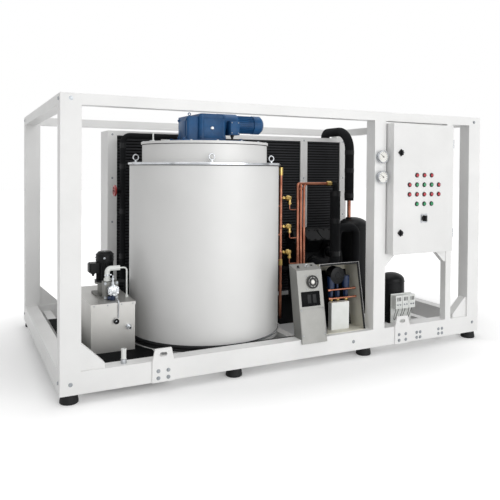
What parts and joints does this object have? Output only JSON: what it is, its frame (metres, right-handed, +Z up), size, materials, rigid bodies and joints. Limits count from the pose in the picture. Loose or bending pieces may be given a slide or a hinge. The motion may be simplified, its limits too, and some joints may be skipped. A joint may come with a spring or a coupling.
{
  "type": "flake ice machine",
  "caption": "Skid-mounted flake ice machine: an ice drum with a scraper rotor, water tank and pump, air-cooled condenser with fans, compressor and a control cabinet in an open steel frame.",
  "frame": {"origin": "middle of the footprint, on the floor under the rubber feet", "axes": "+X along the front from the drum's end to the cabinet's end, +Y from the front to the condenser at the back, +Z up"},
  "size_m": [3.03, 1.898, 1.65],
  "materials": {
    "white_paint": "satin powder coat",
    "black_steel": "satin black paint",
    "rubber": "matt black rubber",
    "stainless": "brushed stainless sheet",
    "blue_paint": "semi-gloss blue paint",
    "black_paint": "black paint",
    "black_plastic": "matt black plastic",
    "white_plastic": "white plastic",
    "coil_black": "black coated fins",
    "copper": "drawn copper tube",
    "brass": "machined brass",
    "foam": "matt closed-cell foam",
    "red_paint": "red paint",
    "cabinet_paint": "fine-textured pale grey powder coat",
    "switchgear": "grey moulded plastic",
    "gauge_steel": "bright steel case",
    "lamp_red": "clear coloured lens",
    "button_green": "green plastic cap"
  },
  "bodies": {
    "frame": {"sills": "white_paint", "corner_posts": "white_paint", "top_rails": "white_paint", "mid_posts": "white_paint", "cross_beams": "white_paint", "gussets": "white_paint", "lifting_lugs": "white_paint", "condenser_casing": "white_paint", "fan_plate": "white_paint", "floor_plates": "black_steel", "compressor": "black_steel", "pressure_vessels": "black_steel", "feet": "rubber", "front_hoses": "rubber", "drum_base": "stainless", "drum_jacket": "stainless", "evaporator": "stainless", "drum_top_ring": "stainless", "drum_collar": "stainless", "collar_lid": "stainless", "lifting_eyes": "stainless", "water_tank": "stainless", "tank_lid": "stainless", "pump_lantern": "stainless", "tank_fittings": "stainless", "controller_box": "stainless", "gearbox": "blue_paint", "gear_motor": "blue_paint", "valve_set": "blue_paint", "pump_motor": "black_paint", "fan_guards": "black_paint", "water_pipe": "white_plastic", "pressure_switches": "white_plastic", "condenser_coil": "coil_black", "liquid_header": "copper", "copper_risers": "copper", "branch_valves": "brass", "suction_line": "foam", "discharge_line": "foam", "drum_line": "foam", "cabinet_body": "cabinet_paint", "valve_box": "cabinet_paint", "switchgear": "switchgear", "pressure_gauges": "gauge_steel"},
    "rotor": {"rotor_shaft": "stainless", "blade_arms": "stainless", "ice_blade": "stainless", "spray_arms": "stainless"},
    "fan_1": {"fan_rotor_1": "black_paint"},
    "fan_2": {"fan_rotor_2": "black_paint"},
    "fan_3": {"fan_rotor_3": "black_paint"},
    "door": {"cabinet_door": "cabinet_paint", "pilot_lamps": "lamp_red"},
    "button_1": {"start_button_1": "button_green"},
    "button_2": {"start_button_2": "button_green"},
    "button_3": {"start_button_3": "button_green"},
    "switch": {"main_switch": "black_plastic"},
    "top_latch": {"latch_top": "black_plastic"},
    "bottom_latch": {"latch_bottom": "black_plastic"},
    "wheel": {"valve_wheel": "red_paint"}
  },
  "joints": [
    {"name": "rotor_spin", "type": "hinge", "parent": "frame", "child": "rotor", "pos_m": [-0.43, -0.181, 0.75], "axis": [0, 0, 1], "continuous": true},
    {"name": "fan_1_spin", "type": "hinge", "parent": "frame", "child": "fan_1", "pos_m": [-0.56333, 0.733, 0.835], "axis": [0, 1, 0], "continuous": true},
    {"name": "fan_2_spin", "type": "hinge", "parent": "frame", "child": "fan_2", "pos_m": [0.19, 0.733, 0.835], "axis": [0, 1, 0], "continuous": true},
    {"name": "fan_3_spin", "type": "hinge", "parent": "frame", "child": "fan_3", "pos_m": [0.94333, 0.733, 0.835], "axis": [0, 1, 0], "continuous": true},
    {"name": "door_hinge", "type": "hinge", "parent": "frame", "child": "door", "pos_m": [1.186, -0.9085, 1.126], "axis": [0, 0, 1], "range_deg": [0, 120]},
    {"name": "button_1_press", "type": "slide", "parent": "door", "child": "button_1", "axis": [0, 1, 0], "range_m": [0, 0.004], "stiffness_N_per_m": 600},
    {"name": "button_2_press", "type": "slide", "parent": "door", "child": "button_2", "axis": [0, 1, 0], "range_m": [0, 0.004], "stiffness_N_per_m": 600},
    {"name": "button_3_press", "type": "slide", "parent": "door", "child": "button_3", "axis": [0, 1, 0], "range_m": [0, 0.004], "stiffness_N_per_m": 600},
    {"name": "switch_turn", "type": "hinge", "parent": "door", "child": "switch", "pos_m": [0.908, -0.911, 0.922], "axis": [0, 1, 0], "range_deg": [0, 90]},
    {"name": "top_latch_turn", "type": "hinge", "parent": "door", "child": "top_latch", "pos_m": [0.698, -0.911, 1.373], "axis": [0, 1, 0], "range_deg": [0, 90]},
    {"name": "bottom_latch_turn", "type": "hinge", "parent": "door", "child": "bottom_latch", "pos_m": [0.698, -0.911, 0.828], "axis": [0, 1, 0], "range_deg": [0, 90]},
    {"name": "wheel_turn", "type": "hinge", "parent": "frame", "child": "wheel", "pos_m": [-0.924, 0.399, 1.085], "axis": [-1, 0, 0], "range_deg": [0, 720]}
  ]
}
